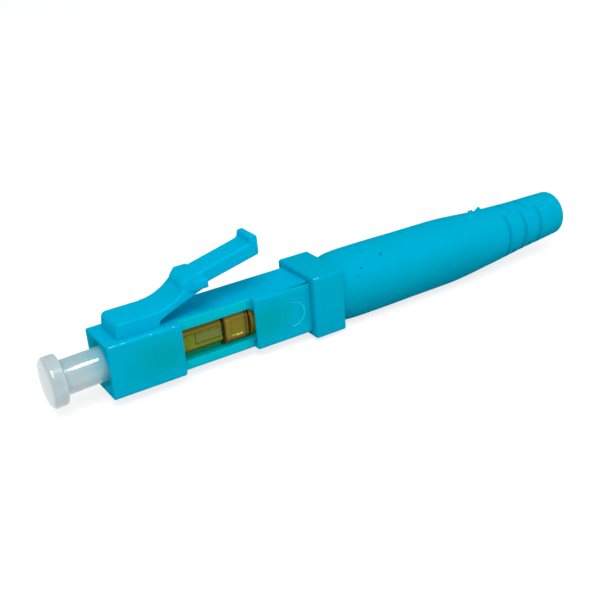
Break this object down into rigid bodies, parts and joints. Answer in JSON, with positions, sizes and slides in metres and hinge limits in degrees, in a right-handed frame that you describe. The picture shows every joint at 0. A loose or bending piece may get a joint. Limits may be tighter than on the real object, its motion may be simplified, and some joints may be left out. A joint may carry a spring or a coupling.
{
  "type": "fibre optic connector",
  "caption": "Field-fitted LC fibre connector: slim square plug with a sprung latch, a window on its splice, a dust-capped ferrule and a long tapered boot.",
  "frame": {"origin": "centre of the plug's front face, on the ferrule's axis", "axes": "+X back along the ferrule's axis towards the boot, +Z the latch side, -Y the side with the splice window"},
  "size_m": [0.052, 0.0062, 0.0104],
  "materials": {
    "aqua_plug": "satin moulded plastic, aqua",
    "aqua_boot": "soft matt elastomer, aqua",
    "amber_plastic": "clear amber plastic",
    "cap_plastic": "milky translucent plastic",
    "ceramic": "polished white zirconia",
    "fibre_glass": "clear",
    "splice_plastic": "clear plastic",
    "steel": "bright spring steel",
    "metal_tube": "plated",
    "natural_plastic": "natural"
  },
  "bodies": {
    "plug": {"plug_housing": "aqua_plug", "spring_retainer": "natural_plastic", "boot": "aqua_boot", "spring": "steel"},
    "latch": {"latch_arm": "aqua_plug"},
    "ferrule_set": {"ferrule": "ceramic", "fibre_stub": "fibre_glass", "ferrule_holder": "amber_plastic", "splice_lower": "splice_plastic", "splice_upper": "splice_plastic", "cam_ring": "amber_plastic", "lead_in_tube": "metal_tube", "crimp_tube": "metal_tube"},
    "cam": {"splice_cam": "amber_plastic"},
    "cap": {"dust_cap": "cap_plastic"}
  },
  "joints": [
    {"name": "latch_press", "type": "hinge", "parent": "plug", "child": "latch", "pos_m": [0.00478, 0, 0.00262], "axis": [0, 1, 0], "range_deg": [0, 18], "stiffness_Nm_per_rad": 0.1},
    {"name": "ferrule_slide", "type": "slide", "parent": "plug", "child": "ferrule_set", "axis": [1, 0, 0], "range_m": [0, 0.001], "stiffness_N_per_m": 5000, "deforming": ["spring"]},
    {"name": "cam_turn", "type": "hinge", "parent": "ferrule_set", "child": "cam", "pos_m": [0.0112, 0, 0], "axis": [1, 0, 0], "range_deg": [0, 90]},
    {"name": "cap_pull", "type": "slide", "parent": "ferrule_set", "child": "cap", "axis": [-1, 0, 0], "range_m": [0, 0.008]}
  ]
}
